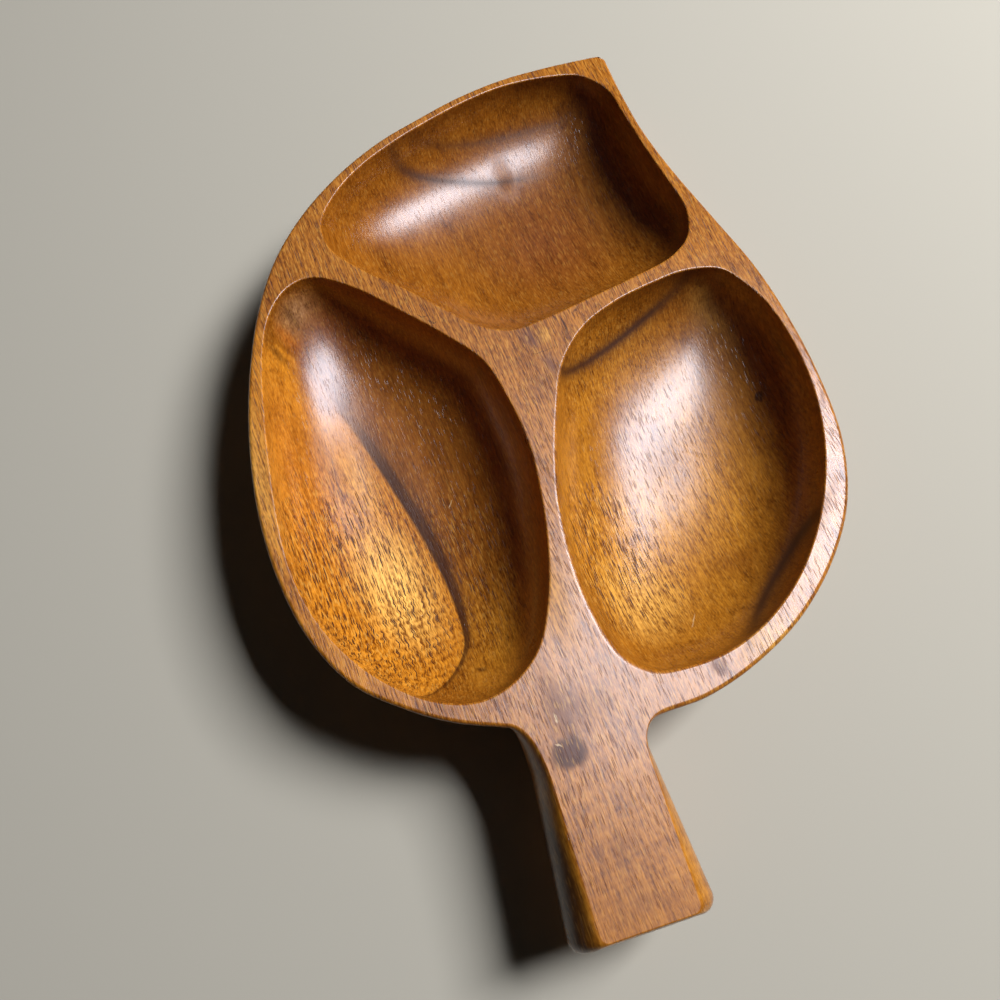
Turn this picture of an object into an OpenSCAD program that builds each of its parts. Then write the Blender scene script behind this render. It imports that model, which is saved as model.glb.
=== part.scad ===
// Leaf-shaped serving bowl, carved from one thick board. Three wells are scooped out of
// its top between a Y-shaped web, and the leaf's stem is the handle.
// Millimetres. +Z is up, the stem points to -Y and the tip of the leaf to +Y.
// The origin is on the table, under the middle of the outline.

/* [Leaf] */
// Width of the leaf
leaf_w = 238; // [200:1:280]
// Length of the leaf, from the neck to the tip
leaf_l = 298; // [250:1:350]
// Height of the rim above the table
body_h = 42; // [36:1:56]
// Rounding of the rim's outer edge
rim_round = 1.5; // [1:0.5:4]
// How far the flat underside lies inside the leaf's edge
undercut = 30; // [15:1:45]

/* [Wells] */
// Least wood between a well and the leaf's edge, and half the least width of the web
well_inset = 4.5; // [3:0.5:7]
// Wood left under the deepest place of each well
floor_t = 11; // [6:1:16]
// Softened edge where a well meets the rim
well_edge = 0.8; // [0.4:0.1:1.5]

/* [Stem] */
// Length of the stem beyond the leaf
stem_l = 67; // [40:1:100]
// How far the stem's middle lies to the left of the leaf's middle
stem_x = 22; // [0:1:35]
// Width of the stem's flat top face
stem_top_w = 36.5; // [28:0.5:38]
// How far the top face's middle lies to the right of the stem's middle
stem_top_x = 2; // [0:0.5:3]
// Greatest width of the stem at the neck
neck_w = 45; // [40:1:50]
// Greatest width of the stem near its end
stem_w = 55; // [50:1:65]
// Thickness of the stem
stem_h = 27; // [20:1:32]
// How far the stem's widest line lies below its top face
shoulder_h = 13; // [8:1:16]
// How far the stem's end stands out past its top face
end_bevel = 3; // [2:0.5:8]
// Corner radius at the stem's end, seen from above
end_r = 5; // [4:0.5:14]
// Corner radius of the top face at the stem's end
top_corner_r = 3; // [1:0.5:8]
// Reach of the hollow curve between the leaf and the stem's side
neck_round = 7; // [3:0.5:12]
// Reach of the hollow curve between the rim and the stem's top face
neck_blend = 13; // [10:1:20]

/* [Hidden] */

// Tables of shares: x of the leaf's width from its middle, y of its length from the neck.
// The leaf's right edge, from the neck up to the tip
right_edge_shares = [
    [0.038, 0.004], [0.115, 0.007], [0.205, 0.027], [0.3, 0.064], [0.387, 0.121],
    [0.452, 0.19], [0.49, 0.275], [0.5, 0.37], [0.495, 0.465], [0.477, 0.56],
    [0.443, 0.655], [0.408, 0.75], [0.383, 0.84], [0.373, 0.925], [0.37, 0.988],
];
// The leaf's left edge, from the tip down to the neck
left_edge_shares = [
    [0.362, 0.998], [0.34, 1.0], [0.25, 1.002], [0.155, 0.999], [0.06, 0.986],
    [-0.035, 0.963], [-0.125, 0.937], [-0.215, 0.897], [-0.3, 0.843], [-0.37, 0.778],
    [-0.42, 0.704], [-0.455, 0.625], [-0.48, 0.545], [-0.495, 0.465], [-0.5, 0.385],
    [-0.491, 0.3], [-0.465, 0.22], [-0.417, 0.151], [-0.35, 0.104], [-0.28, 0.069],
    [-0.2, 0.043],
];
// Each well's cell, bounded by the leaf's edge and by the middle lines of the web
tip_cell_shares = [
    [0.365, 0.935], [0.318, 0.98], [0.25, 0.995], [0.16, 0.999], [0.075, 0.989],
    [-0.01, 0.97], [-0.1, 0.944], [-0.185, 0.91], [-0.25, 0.867], [-0.288, 0.82],
    [-0.283, 0.766], [-0.235, 0.714], [-0.17, 0.665], [-0.11, 0.614], [-0.06, 0.574],
    [0.005, 0.55], [0.085, 0.555], [0.175, 0.568], [0.26, 0.581], [0.34, 0.597],
    [0.395, 0.63], [0.416, 0.685], [0.405, 0.745], [0.39, 0.81], [0.378, 0.875],
];
left_cell_shares = [
    [-0.305, 0.745], [-0.37, 0.737], [-0.42, 0.695], [-0.45, 0.63], [-0.468, 0.55],
    [-0.48, 0.47], [-0.488, 0.39], [-0.486, 0.31], [-0.463, 0.235], [-0.418, 0.168],
    [-0.36, 0.117], [-0.297, 0.083], [-0.23, 0.069], [-0.163, 0.081], [-0.105, 0.116],
    [-0.064, 0.175], [-0.038, 0.24], [-0.021, 0.31], [-0.012, 0.385], [-0.02, 0.46],
    [-0.043, 0.535], [-0.095, 0.592], [-0.155, 0.645], [-0.23, 0.707],
];
right_cell_shares = [
    [0.42, 0.583], [0.35, 0.597], [0.275, 0.591], [0.195, 0.577], [0.12, 0.55],
    [0.06, 0.502], [0.025, 0.44], [-0.006, 0.37], [-0.027, 0.3], [-0.036, 0.225],
    [-0.031, 0.15], [-0.008, 0.083], [0.045, 0.042], [0.115, 0.033], [0.185, 0.039],
    [0.255, 0.06], [0.325, 0.097], [0.383, 0.144], [0.432, 0.2], [0.472, 0.27],
    [0.495, 0.345], [0.499, 0.42], [0.486, 0.495], [0.46, 0.543],
];

// Powers of the superellipses that the carving follows, where 2 is an ellipse
well_power = 2.6;
under_power = 2.6;
// Slope at which a rounded edge leaves the flat top, in degrees
rim_start = 15;
stem_start = 38;

// Curve steps between two points of a table, and rings of each carved surface
edge_steps = 3;
well_steps = 3;
well_rings = 8;
soft_rings = 2;
shoulder_rings = 3;
under_rings = 6;
// Curve steps to either side that easing a well's outline reaches
ease_span = 4;
// Points along each stretch of the stem
fillet_steps = 5;
side_steps = 7;
corner_steps = 4;
end_steps = 3;

// Overrun of a cut past the surface that it opens
over = rim_round;

// A point t of the way from b to c, on a smooth curve through a, b, c and d
function curve_point(a, b, c, d, t) =
    (2 * b + (c - a) * t + (2 * a - 5 * b + 4 * c - d) * t * t
        + (3 * b - a - 3 * c + d) * t * t * t) / 2;

// A smooth closed curve through the points of p
function closed_curve(p, steps) =
    let (n = len(p))
    [for (i = [0:n - 1]) for (j = [0:steps - 1])
        curve_point(p[(i + n - 1) % n], p[i], p[(i + 1) % n], p[(i + 2) % n], j / steps)];

// A smooth open curve through the points of p, with both ends
function open_curve(p, steps) =
    let (
        n = len(p),
        q = concat([2 * p[0] - p[1]], p, [2 * p[n - 1] - p[n - 2]])
    )
    [for (i = [1:n - 1]) for (j = [0:steps - (i < n - 1 ? 1 : 0)])
        curve_point(q[i - 1], q[i], q[i + 1], q[i + 2], j / steps)];

// A quadratic curve from a to b that is pulled towards c
function pulled_curve(a, c, b, steps) =
    [for (j = [1:steps]) let (t = j / steps)
        (1 - t) * (1 - t) * a + 2 * t * (1 - t) * c + t * t * b];

// The points of a table of shares at the leaf's size
function leaf_points(shares) = [for (s = shares) [s.x * leaf_w, s.y * leaf_l]];

// Outward direction at point i of a closed curve that runs anticlockwise
function outward(p, i) =
    let (
        n = len(p),
        d = p[(i + 1) % n] - p[(i + n - 1) % n]
    )
    [d.y, -d.x] / norm(d);

// A closed curve drawn in by distance d
function drawn_in(p, d) = [for (i = [0:len(p) - 1]) p[i] - d * outward(p, i)];

// A closed curve whose corners are eased, the more so the more times it is done
function eased(p, times) =
    times == 0 ? p : let (n = len(p), q = eased(p, times - 1))
    [for (i = [0:n - 1])
        (q[(i + n - ease_span) % n] + 2 * q[i] + q[(i + ease_span) % n]) / 4];

// A share that leaves 0 and reaches 1 without a corner
function smooth_share(t) = t * t * (3 - 2 * t);

// The leaf's edge at its widest and its top edge, from the neck round the tip to the neck
leaf_wide = concat(
    open_curve(leaf_points(right_edge_shares), edge_steps),
    open_curve(leaf_points(left_edge_shares), edge_steps));
leaf_count = len(leaf_wide);
leaf_top = drawn_in(leaf_wide, rim_round);

// The point on the line from a towards b, continued to the given x
function reach(a, b, x) = [x, b.y + (b.y - a.y) * (x - b.x) / (b.x - a.x)];

// The stem's outline from the leaf's left end to its right end. The leaf's last two
// points on each side give the direction in which the hollow curves start.
function stem_outline(leaf, middle, half_neck, half_end, start_y, end_y, corner_r) =
    let (
        n = leaf_count,
        left = middle - half_neck,
        right = middle + half_neck,
        left_end = middle - half_end,
        right_end = middle + half_end,
        down = end_y + corner_r,
        left_hollow = pulled_curve(leaf[n - 1], reach(leaf[n - 2], leaf[n - 1], left),
            [left, start_y], fillet_steps),
        left_side = [for (j = [1:side_steps]) let (t = j / side_steps)
            [left + (left_end - left) * t, start_y + (down - start_y) * t]],
        left_corner = [for (j = [1:corner_steps]) let (a = 90 * j / corner_steps)
            [left_end + corner_r * (1 - cos(a)), down - corner_r * sin(a)]],
        end_line = [for (j = [1:end_steps]) let (t = j / (end_steps + 1))
            [left_end + corner_r + 2 * (half_end - corner_r) * t, end_y]],
        right_corner = [for (j = [0:corner_steps - 1]) let (a = 90 * j / corner_steps)
            [right_end - corner_r * (1 - sin(a)), down - corner_r * cos(a)]],
        right_side = [for (j = [0:side_steps - 1]) let (t = 1 - j / side_steps)
            [right + (right_end - right) * t, start_y + (down - start_y) * t]],
        right_hollow = concat([[right, start_y]],
            pulled_curve([right, start_y], reach(leaf[1], leaf[0], right), leaf[0],
                fillet_steps))
    )
    concat(left_hollow, left_side, left_corner, end_line, right_corner, right_side,
        [for (j = [0:fillet_steps - 1]) right_hollow[j]]);

stem_wide = stem_outline(leaf_wide, -stem_x, neck_w / 2, stem_w / 2, -neck_round, -stem_l,
    end_r);
stem_top = stem_outline(leaf_top, stem_top_x - stem_x, stem_top_w / 2, stem_top_w / 2,
    -neck_blend, -stem_l + end_bevel, top_corner_r);
stem_count = len(stem_wide);
count = leaf_count + stem_count;
wide = concat(leaf_wide, stem_wide);
top = concat(leaf_top, stem_top);

// Middle of the outline, which the model is centred on
low = [min([for (p = wide) p.x]), min([for (p = wide) p.y])];
high = [max([for (p = wide) p.x]), max([for (p = wide) p.y])];
centre = (low + high) / 2;

// Place of a stem point along the stem, counted from the neck on either side
function stem_place(i) = min(i, stem_count - 1 - i);

// How far point i of the whole outline belongs to the stem, from 0 to 1
function stem_share(i) =
    i < leaf_count ? 0 : smooth_share(min(1, (stem_place(i - leaf_count) + 1) / fillet_steps));

// The flat underside, and the line under the stem where its two sides meet
foot_middle = [0, leaf_l / 2];
foot_scale = [1 - 2 * undercut / leaf_w, 1 - 2 * undercut / leaf_l];
foot = [for (p = leaf_wide)
    [p.x * foot_scale.x, foot_middle.y + (p.y - foot_middle.y) * foot_scale.y]];
keel_count = fillet_steps + side_steps;
keel_start = (foot[0] + foot[leaf_count - 1]) / 2;
keel_end = [-stem_x, -stem_l + stem_w / 2];
keel = [for (j = [0:keel_count - 1])
    keel_start + (keel_end - keel_start) * j / (keel_count - 1)];
keel_z = [for (j = [0:keel_count - 1])
    (body_h - stem_h) * smooth_share(j / (keel_count - 1))];

// Where point i of the outline ends under the bowl
function keel_place(i) = min(stem_place(i - leaf_count), keel_count - 1);
function under_point(i) = i < leaf_count ? foot[i] : keel[keel_place(i)];
function under_z(i) = i < leaf_count ? 0 : keel_z[keel_place(i)];

// Height of the widest line at point i
function wide_z(i) = body_h - rim_round - (shoulder_h - rim_round) * stem_share(i);

// Ring of the rounded edge between the top face and the widest line
function shoulder_ring(k) =
    [for (i = [0:count - 1])
        let (
            start = rim_start + (stem_start - rim_start) * stem_share(i),
            a = start + (90 - start) * k / shoulder_rings,
            out_share = (sin(a) - sin(start)) / (1 - sin(start)),
            down_share = 1 - cos(a) / cos(start),
            p = top[i] + (wide[i] - top[i]) * out_share
        )
        [p.x, p.y, body_h - (body_h - wide_z(i)) * down_share]];

// Ring of the wall and its turn under the bowl
function under_ring(k) =
    [for (i = [0:count - 1])
        let (
            a = 90 * k / under_rings,
            in_share = 1 - pow(cos(a), 2 / under_power),
            down_share = pow(sin(a), 2 / under_power),
            p = wide[i] + (under_point(i) - wide[i]) * in_share
        )
        [p.x, p.y, wide_z(i) - (wide_z(i) - under_z(i)) * down_share]];

// Two triangles for each step between two rings of n points, whose first points are given
function band(upper, lower, n) =
    [for (i = [0:n - 1]) let (j = (i + 1) % n)
        each [[upper + i, upper + j, lower + j], [upper + i, lower + j, lower + i]]];

// The outside of the leaf and its stem, with a slight crown that the flat top cuts off
module blank() {
    rings = concat(
        [for (k = [0:shoulder_rings]) shoulder_ring(k)],
        [for (k = [1:under_rings - 1]) under_ring(k)]);
    last_ring = 1 + (len(rings) - 1) * count;
    first_foot = last_ring + count;
    first_keel = first_foot + leaf_count;
    foot_point = first_keel + keel_count;
    ends = [for (i = [0:count - 1]) i < leaf_count ? first_foot + i : first_keel + keel_place(i)];
    polyhedron(
        points = concat(
            [[-stem_x, leaf_l / 4, body_h + over]],
            [for (ring = rings) each ring],
            [for (p = foot) [p.x, p.y, 0]],
            [for (j = [0:keel_count - 1]) [keel[j].x, keel[j].y, keel_z[j]]],
            [[foot_middle.x, foot_middle.y, 0]]),
        faces = concat(
            [for (i = [0:count - 1]) [0, 1 + (i + 1) % count, 1 + i]],
            [for (k = [0:len(rings) - 2]) each band(1 + k * count, 1 + (k + 1) * count, count)],
            [for (i = [0:count - 1]) let (j = (i + 1) % count)
                [last_ring + i, last_ring + j, ends[j]]],
            [for (i = [0:count - 1]) let (j = (i + 1) % count)
                if (ends[i] != ends[j]) [last_ring + i, ends[j], ends[i]]],
            [for (i = [0:leaf_count - 1])
                [foot_point, first_foot + i, i < leaf_count - 1 ? first_foot + i + 1 : first_keel]],
            [[foot_point, first_keel, first_foot]]));
}

// The space over the flat top
module planing() {
    translate([low.x - over, low.y - over, body_h])
        cube([high.x - low.x + 2 * over, high.y - low.y + 2 * over, 2 * over]);
}

// The space of one well, from above the rim down to its floor
module scoop(shares) {
    cell = closed_curve(leaf_points(shares), well_steps);
    n = len(cell);
    wall = drawn_in(cell, well_inset);
    lip = drawn_in(cell, well_inset - well_edge);
    bottom = [for (v = [0, 1]) [for (p = wall) 1] * [for (p = wall) p[v]] / n];
    wall_top = body_h - well_edge;
    depth = wall_top - floor_t;
    soft = [for (k = [0:soft_rings]) let (a = 90 * k / soft_rings)
        [for (i = [0:n - 1]) let (p = wall[i] + (lip[i] - wall[i]) * (1 - sin(a)))
            [p.x, p.y, wall_top + well_edge * cos(a)]]];
    bowl = [for (k = [1:well_rings - 1]) let (a = 90 * k / well_rings)
        [for (p = eased(wall, k)) let (q = bottom + (p - bottom) * pow(cos(a), 2 / well_power))
            [q.x, q.y, wall_top - depth * pow(sin(a), 2 / well_power)]]];
    rings = concat([[for (p = lip) [p.x, p.y, body_h + over]]], soft, bowl);
    last_ring = 1 + (len(rings) - 1) * n;
    polyhedron(
        points = concat(
            [[bottom.x, bottom.y, body_h + over]],
            [for (ring = rings) each ring],
            [[bottom.x, bottom.y, floor_t]]),
        faces = concat(
            [for (i = [0:n - 1]) [0, 1 + (i + 1) % n, 1 + i]],
            [for (k = [0:len(rings) - 2]) each band(1 + k * n, 1 + (k + 1) * n, n)],
            [for (i = [0:n - 1]) [last_ring + n, last_ring + i, last_ring + (i + 1) % n]]));
}

// The whole bowl, which is one carved piece of wood
module carved_bowl() {
    color("peru")
        translate([-centre.x, -centre.y, 0])
            difference() {
                blank();
                planing();
                scoop(tip_cell_shares);
                scoop(left_cell_shares);
                scoop(right_cell_shares);
            }
}

carved_bowl();
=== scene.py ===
"""Leaf-shaped serving bowl with three wells, carved from one board: finished wood and stage.

Lengths are in millimetres and become metres where a mesh, a lamp or the camera is made.
"""
import math
from functools import partial

import bmesh
import bpy
import numpy as np
from bpy.props import FloatProperty, FloatVectorProperty, PointerProperty
from mathutils import Matrix, Vector


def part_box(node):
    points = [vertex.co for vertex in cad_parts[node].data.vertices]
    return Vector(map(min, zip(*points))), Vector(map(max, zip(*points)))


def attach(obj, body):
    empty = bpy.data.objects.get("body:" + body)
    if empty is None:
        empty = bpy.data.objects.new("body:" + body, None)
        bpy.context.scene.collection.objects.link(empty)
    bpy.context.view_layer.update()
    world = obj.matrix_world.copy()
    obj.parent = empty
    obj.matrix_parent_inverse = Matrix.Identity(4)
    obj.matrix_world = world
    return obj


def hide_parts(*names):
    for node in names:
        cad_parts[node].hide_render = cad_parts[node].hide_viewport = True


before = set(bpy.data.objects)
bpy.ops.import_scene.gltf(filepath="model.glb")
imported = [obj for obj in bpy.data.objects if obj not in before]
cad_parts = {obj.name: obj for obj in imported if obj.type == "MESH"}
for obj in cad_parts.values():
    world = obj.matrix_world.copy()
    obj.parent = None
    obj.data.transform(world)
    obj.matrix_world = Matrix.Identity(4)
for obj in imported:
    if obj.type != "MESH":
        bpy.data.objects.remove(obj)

bl_info = {
    "name": "Divided leaf bowl",
    "version": (1, 0, 0),
    "blender": (4, 5, 0),
    "location": "3D View > Sidebar > Leaf bowl",
    "description": "A leaf-shaped bowl with three scooped wells in figured wood, on a floor",
    "category": "Object",
}

MM = 0.001
LOW, HIGH = (np.array(corner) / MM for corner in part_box("carved_bowl"))
# The kinds of node that the trees use most. A Mix node has its factor at input 0, floats at 2
# and 3, vectors at 4 and 5 and colours at 6 and 7, and a mixed colour comes out at 2
MATH, VECTOR = "ShaderNodeMath", "ShaderNodeVectorMath"
RANGE, MIX, RAMP = "ShaderNodeMapRange", "ShaderNodeMix", "ShaderNodeValToRGB"

# Tables of shares: x of the leaf's width from its middle, y of its length from the neck.
# The leaf's right edge, from the neck up to the tip
RIGHT_EDGE_SHARES = [
    (0.038, 0.004), (0.115, 0.007), (0.205, 0.027), (0.3, 0.064), (0.387, 0.121),
    (0.452, 0.19), (0.49, 0.275), (0.5, 0.37), (0.495, 0.465), (0.477, 0.56),
    (0.443, 0.655), (0.408, 0.75), (0.383, 0.84), (0.373, 0.925), (0.37, 0.988),
]
# The leaf's left edge, from the tip down to the neck
LEFT_EDGE_SHARES = [
    (0.362, 0.998), (0.34, 1.0), (0.25, 1.002), (0.155, 0.999), (0.06, 0.986),
    (-0.035, 0.963), (-0.125, 0.937), (-0.215, 0.897), (-0.3, 0.843), (-0.37, 0.778),
    (-0.42, 0.704), (-0.455, 0.625), (-0.48, 0.545), (-0.495, 0.465), (-0.5, 0.385),
    (-0.491, 0.3), (-0.465, 0.22), (-0.417, 0.151), (-0.35, 0.104), (-0.28, 0.069),
    (-0.2, 0.043),
]
# Each well's cell, bounded by the leaf's edge and by the middle lines of the web
CELL_SHARES = {
    "tip_well": [
        (0.365, 0.935), (0.318, 0.98), (0.25, 0.995), (0.16, 0.999), (0.075, 0.989),
        (-0.01, 0.97), (-0.1, 0.944), (-0.185, 0.91), (-0.25, 0.867), (-0.288, 0.82),
        (-0.283, 0.766), (-0.235, 0.714), (-0.17, 0.665), (-0.11, 0.614), (-0.06, 0.574),
        (0.005, 0.55), (0.085, 0.555), (0.175, 0.568), (0.26, 0.581), (0.34, 0.597),
        (0.395, 0.63), (0.416, 0.685), (0.405, 0.745), (0.39, 0.81), (0.378, 0.875),
    ],
    "left_well": [
        (-0.305, 0.745), (-0.37, 0.737), (-0.42, 0.695), (-0.45, 0.63), (-0.468, 0.55),
        (-0.48, 0.47), (-0.488, 0.39), (-0.486, 0.31), (-0.463, 0.235), (-0.418, 0.168),
        (-0.36, 0.117), (-0.297, 0.083), (-0.23, 0.069), (-0.163, 0.081), (-0.105, 0.116),
        (-0.064, 0.175), (-0.038, 0.24), (-0.021, 0.31), (-0.012, 0.385), (-0.02, 0.46),
        (-0.043, 0.535), (-0.095, 0.592), (-0.155, 0.645), (-0.23, 0.707),
    ],
    "right_well": [
        (0.42, 0.583), (0.35, 0.597), (0.275, 0.591), (0.195, 0.577), (0.12, 0.55),
        (0.06, 0.502), (0.025, 0.44), (-0.006, 0.37), (-0.027, 0.3), (-0.036, 0.225),
        (-0.031, 0.15), (-0.008, 0.083), (0.045, 0.042), (0.115, 0.033), (0.185, 0.039),
        (0.255, 0.06), (0.325, 0.097), (0.383, 0.144), (0.432, 0.2), (0.472, 0.27),
        (0.495, 0.345), (0.499, 0.42), (0.486, 0.495), (0.46, 0.543),
    ],
}

# Powers of the superellipses that the carving follows, where 2 is an ellipse
WELL_POWER = 2.6
UNDER_POWER = 2.6
# Slope at which a rounded edge leaves the flat top, in degrees
RIM_START = 15
STEM_START = 38
# Curve steps between two points of a table, and rings of each carved surface
EDGE_STEPS = 12
WELL_STEPS = 8
SHOULDER_RINGS = 9
UNDER_RINGS = 26
LIP_RINGS = 5
BOWL_RINGS = 44
# Points along each stretch of the stem
FILLET_STEPS = 16
SIDE_STEPS = 24
CORNER_STEPS = 12
END_STEPS = 10
# How close two points lie that are one, in metres
WELD = 1e-7
# The wells' corners ease out towards the floor: passes of smoothing, and the angle down the
# wall, in radians, at which they are fully eased
EASING_PASSES = 500
EASED_AT = 1.2
# The higher this power, the nearer the lip's wear keeps to the middle of the worn side
WEAR_FOCUS = 3.0
# Degrees by which the grain leans to the left of the stem's direction
GRAIN_TURN = 4.9
# Growth layers are cones about an axis over the board: a point of the axis, how fast the cones
# widen towards the tip and the radius of the long dark line on the left. Beside the stem, from
# a place on the y axis, they bend away from the axis by a share of the distance squared, in mm
LAYER_AXIS = (20.0, 0.0, 95.0)
LAYER_TAPER = 0.176
LINE_RADIUS = 117.7
BEND_START = -63.0
BEND = -0.02
# Dark growth lines in the wells, beside the long one on the left: the square direction and the
# distance of each plane, then the middle of the place where it shows, its reach, its width and
# its strength, in mm
GROWTH_LINES = (
    ((0, 1, 0), 165, (20, 165, 25), 60, 1.6, 0.5),
    ((0.13, 0.966, -0.26), 142, (2, 152, 18), 60, 1.7, 0.8),
    ((-0.383, 0.924, 0), 20.4, (45, 40, 30), 68, 2, 0.95),
    ((-0.655, 0.756, 0), -107.6, (78, -79, 34), 54, 1.9, 0.95),
)
# Zones of amber wood: middle, half sizes across the grain, along it and up, and strength, in mm
AMBER_ZONES = (
    ((52, -32, 18), (90, 110, 90), 0.95),
    ((-20, -160, 25), (60, 75, 60), 0.9),
    ((-40, -72, 25), (34, 52, 34), 0.7),
)
# Zones where the pores stand open, in the same order
PORE_ZONES = (
    ((-86, -34, 20), (58, 86, 60), 0.95),
    ((-48, -35, 20), (42, 75, 40), 0.6),
    ((16, -52, 15), (46, 56, 45), 0.95),
    ((55, -18, 15), (50, 80, 45), 0.55),
    ((42, 32, 25), (50, 44, 40), 0.5),
)
# Patches of the body, among them painted light, shade and sheen: colour, middle, half sizes,
# softness, strength and turn from the y axis in degrees
PATCHES = (
    ("pale_gold_and_painted_light", (-79, 16, 12.5), (11, 24, 14), 1, 0.3, 8),
    ("pale_gold_and_painted_light", (-76, -36, 14), (22, 44, 20), 1, 0.95, 8),
    ("pale_gold_and_painted_light", (-117, 25, 40), (10, 60, 14), 1, 0.4, 0),
    ("pale_gold_and_painted_light", (20, -70, 19), (26, 30, 18), 1, 0.5, 5),
    # Painted light: paler wood on the right well's upper wall, which lies in shade
    ("pale_gold_and_painted_light", (100, 40, 30), (24, 32, 18), 1, 0.25, 0),
    ("pale_gold_and_painted_light", (14, 46, 42), (5, 5, 4), 0.8, 0.4, 5),
    # Painted light: paler wood on the right well's upper wall, which lies in shade
    ("pale_gold_and_painted_light", (97.6, 45.1, 30.6), (18, 24, 14), 1, 0.35, 0),
    # Painted sheen: pale scratch colour on the left well's upper wall stands for the lamp's haze
    # there
    ("nick_and_sheen", (-85, 92, 32.3), (16, 14, 12), 1, 0.25, 35),
    ("russet", (-84, 63, 20), (12, 24, 16), 0.5, 0.8, 14),
    # Painted sheen: paler wood on the flat top of the lower right rim, where the high lamp's sheen
    # falls
    ("pale_gold_and_painted_light", (58, -101, 42), (22, 12, 3), 1, 0.4, 0),
    ("brown", (8.2, 40, 42), (16, 28, 4), 1, 0.5, 0),
    ("pale_gold_and_painted_light", (-17, -60, 42), (12, 36, 4), 1, 0.2, 0),
    ("russet", (94, 42, 31), (26, 34, 20), 1, 0.25, 0),
    ("russet", (38, 106, 15), (46, 44, 30), 1, 0.75, -60),
    ("russet", (46, -2, 12), (34, 44, 18), 1, 0.7, 0),
    ("russet", (-74, 84, 26), (26, 22, 20), 1, 0.8, -40),
    ("orange", (-100, 20, 30), (16, 60, 30), 1, 0.6, 0),
    ("orange", (-92, 82.5, 31), (4.5, 12, 12), 0.9, 0.7, 35),
    ("growth_line_and_shade", (-97.5, 75, 33), (3, 14, 12), 1, 0.6, 35),
    ("growth_line_and_shade", (-87, 90, 33), (3, 14, 12), 1, 0.5, 35),
    ("brown", (65.5, -67, 18.6), (18, 12, 10), 1, 0.6, 0),
    # Painted shade: the next two patches darken the stem's left face, which is turned away from
    # the lamps
    ("brown", (-48, -150, 24), (12, 50, 18), 0.8, 0.9, 6),
    ("growth_line_and_shade", (-46, -158, 35), (9.5, 44, 12), 0.5, 0.85, 6),
)
# Marks over the figure, in the same order: stains, a knot, cracks and scratches
MARKS = (
    ("stain", (7.5, 46, 42), (4.5, 9, 6), 0.8, 0.6, 20),
    ("stain", (12.5, 32.5, 42), (4, 8, 6), 0.8, 0.65, 20),
    ("stain", (-28.5, -102, 42), (9, 24, 8), 1, 0.65, 5),
    ("stain", (-20, -104, 42), (18, 13, 6), 1, 0.4, 0),
    ("knot", (-29.1, -117.6, 42), (8.8, 7.2, 8), 0.5, 0.92, 0),
    ("stain", (-28.6, -116.2, 42), (6, 4.6, 8), 0.7, 0.5, 0),
    ("stain", (34, -104.5, 42), (6, 4, 6), 0.8, 0.7, -60),
    ("stain", (-22.6, -153, 42), (7, 9, 6), 1, 0.35, 0),
    ("stain", (-21.3, -170, 42), (8, 7, 6), 1, 0.3, 0),
    ("pore", (100.6, -0.6, 21.2), (3, 3, 3.4), 0.6, 0.95, 0),
    ("pore", (-51.8, -78.5, 26.2), (3.6, 1.8, 3.2), 0.9, 0.8, -20),
    ("pore", (23.8, 48.5, 42), (0.7, 5.5, 2), 0.5, 0.95, 3),
    ("pore", (20.6, 52.5, 42), (0.6, 2.6, 2), 0.6, 0.8, 10),
    ("pore", (30.4, 53.2, 42), (2.2, 0.8, 2), 0.6, 0.7, 30),
    ("pore", (8.1, 51.5, 42), (0.6, 3, 2), 0.6, 0.7, 5),
    ("pore", (10.3, 38.5, 42), (0.4, 7, 2), 0.6, 0.5, -86),
    ("pore", (-33.7, 69.8, 42), (0.5, 3, 2), 0.6, 0.8, 60),
    ("pore", (-30, 65.6, 42), (0.5, 3, 2), 0.6, 0.8, 60),
    ("pore", (40.5, -29.6, 11.5), (0.3, 5, 2), 0.6, 0.5, 30),
    ("nick_and_sheen", (37, -85, 22), (0.35, 5, 3), 0.6, 0.5, -40),
    ("nick_and_sheen", (-30.4, -104.4, 42), (0.45, 2.4, 2), 0.5, 0.9, 5),
    ("nick_and_sheen", (-32.2, -114, 42), (0.35, 1.8, 2), 0.5, 0.7, 50),
    ("nick_and_sheen", (-43.9, -5.9, 12.2), (0.35, 2.6, 2), 0.5, 0.6, -30),
    ("nick_and_sheen", (13, 13, 42), (0.35, 3, 2), 0.5, 0.8, -35),
)
# Spots where the lacquer is dull: middle, half sizes and strength, in mm
DULL_SPOTS = (
    ((28, 148, 15), (8, 17, 12), 1.8),
    ((-87, 21, 15), (15, 33, 14), 1.3),
    ((-20, -54, 42), (11, 36, 3), 1.5),
)
# The right well's lip is worn rounder on the side of the web that leads to the stem
WORN_SIDE = (-0.9, -0.44, 0.0)
# Width of the flat strip that keeps the rim level up to its rounded edges, in mm
FLAT_STRIP = 0.3
# Each soft lamp is a strip between two directions, in degrees from +X and above the floor, with
# its distance and its width in mm. The low one lights the wood, the high one shows in the lacquer
LAMPS = {
    "low_lamp": (((13, 35), (13, 57)), 1900, 570),
    "high_lamp": (((17, 53), (-35, 85)), 2600, 640),
}
# The camera is held above the stem, turned and tilted from straight down in degrees
CAMERA_PLACE = (-50.3, -100.5, 328.0)
CAMERA_TURN, CAMERA_TILT = 17.0, 16.6
LENS_MM, SENSOR_MM = 27.0, 36.0
FLOOR_HALF = 2500.0


def linear(code):
    """An sRGB hex colour as linear RGBA."""
    parts = [int(code[i:i + 2], 16) / 255 for i in (1, 3, 5)]
    return [c / 12.92 if c <= 0.04045 else ((c + 0.055) / 1.055) ** 2.4 for c in parts] + [1.0]


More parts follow.
